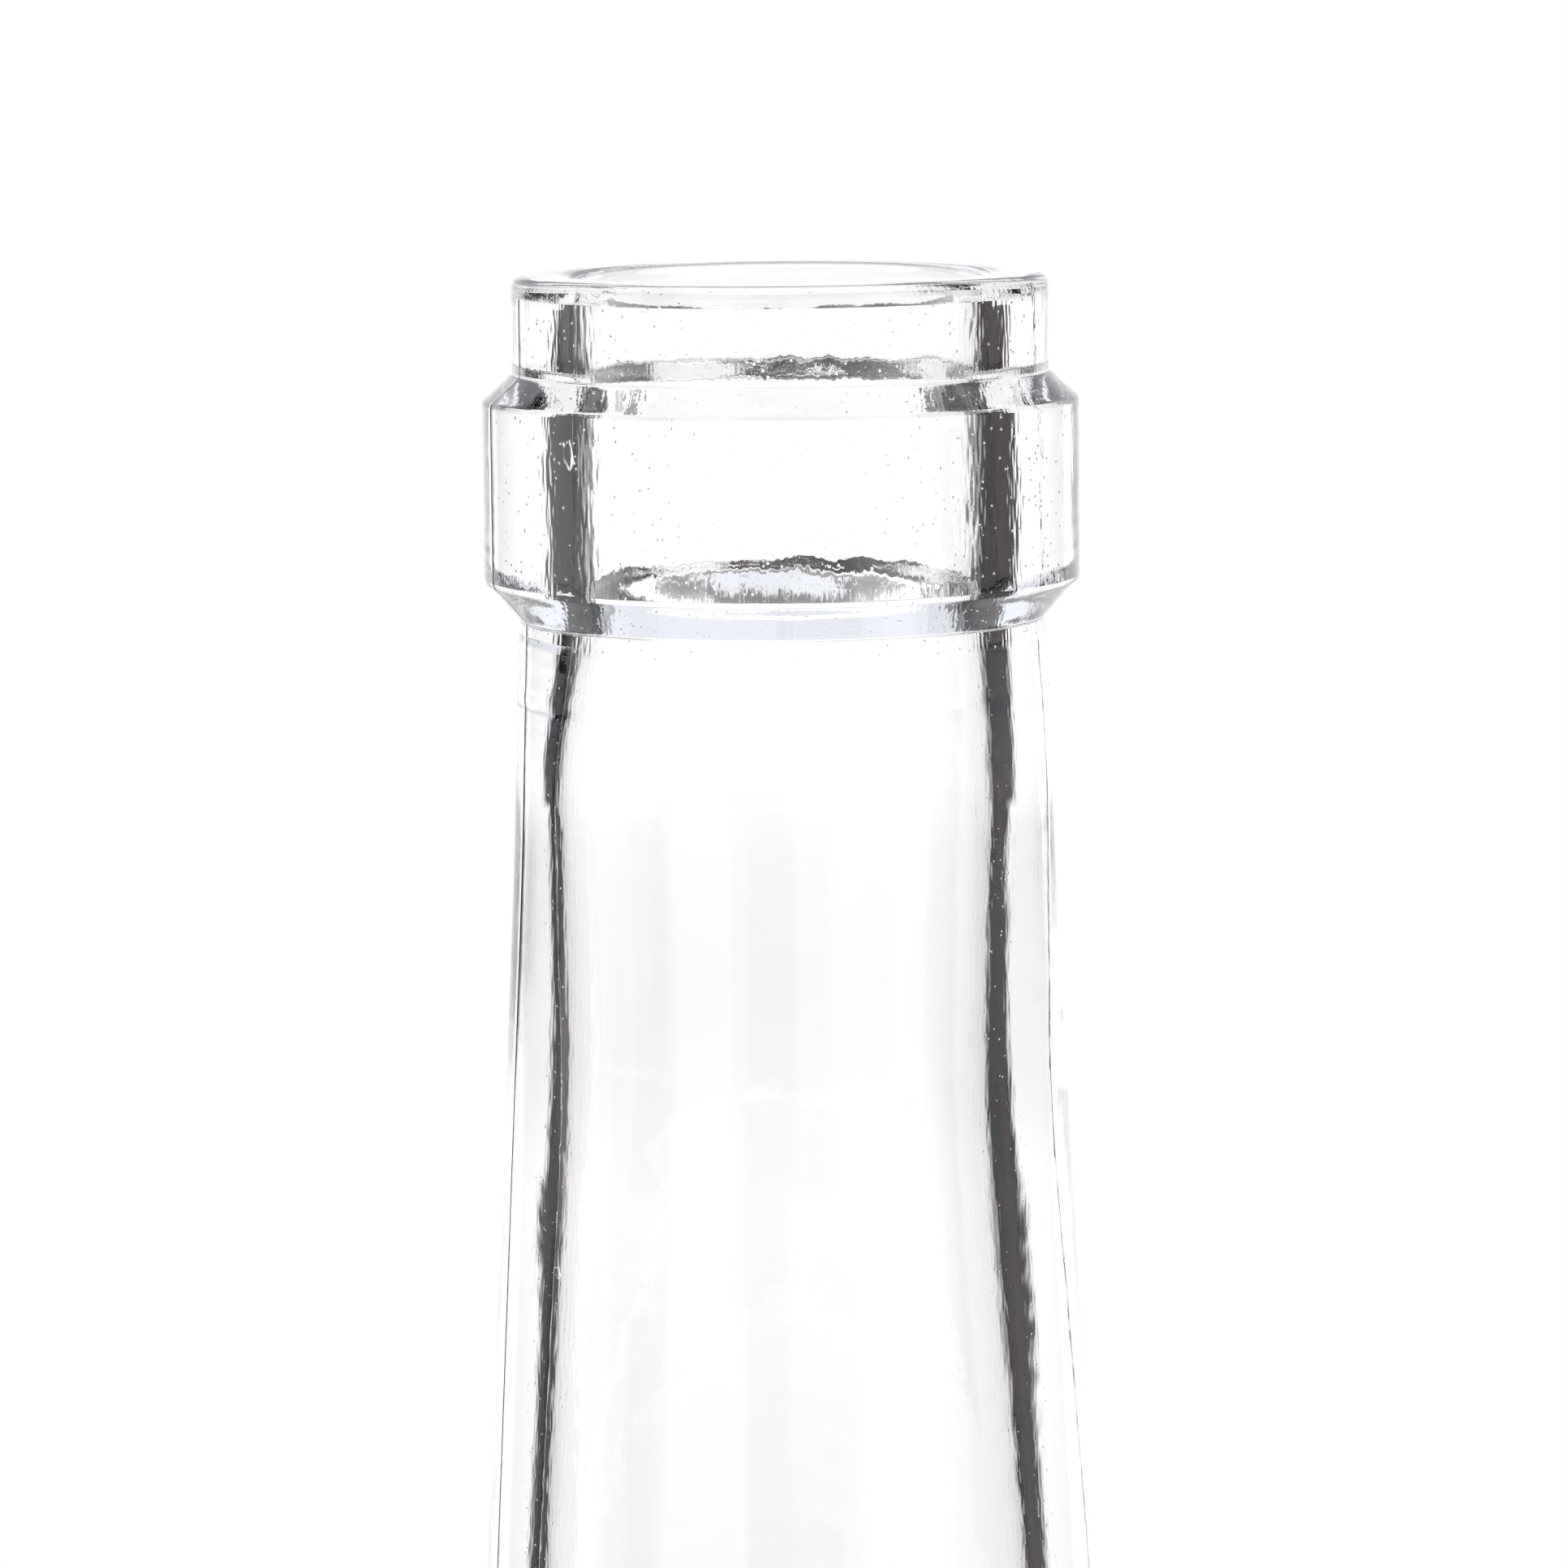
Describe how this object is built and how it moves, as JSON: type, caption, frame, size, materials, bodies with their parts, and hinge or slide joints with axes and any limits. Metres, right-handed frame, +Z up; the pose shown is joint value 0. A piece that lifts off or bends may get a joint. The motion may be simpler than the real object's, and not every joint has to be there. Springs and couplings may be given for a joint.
{
  "type": "glass bottle with stopper",
  "caption": "Clear glass bottle with a long tapered neck, a stepped lip and collar, a plain bore and a pushed-up base, beside its push-in stopper.",
  "frame": {"origin": "middle of the base on the bottle's axis, in the plane that the base ring stands on", "axes": "+Z up along the bottle's axis, out of the mouth; +X towards the stopper beside the bottle"},
  "size_m": [0.1104, 0.068, 0.258],
  "materials": {
    "clear_glass": "gloss",
    "turned_wood": "satin",
    "cork": "matte"
  },
  "bodies": {
    "bottle": {"bottle": "clear_glass"},
    "stopper": {"stopper_head": "turned_wood", "stopper_shank": "cork"}
  },
  "joints": [
    {"name": "stopper_lift", "type": "slide", "parent": "bottle", "child": "stopper", "axis": [0, 0, 1], "range_m": [0, 0.26]}
  ]
}
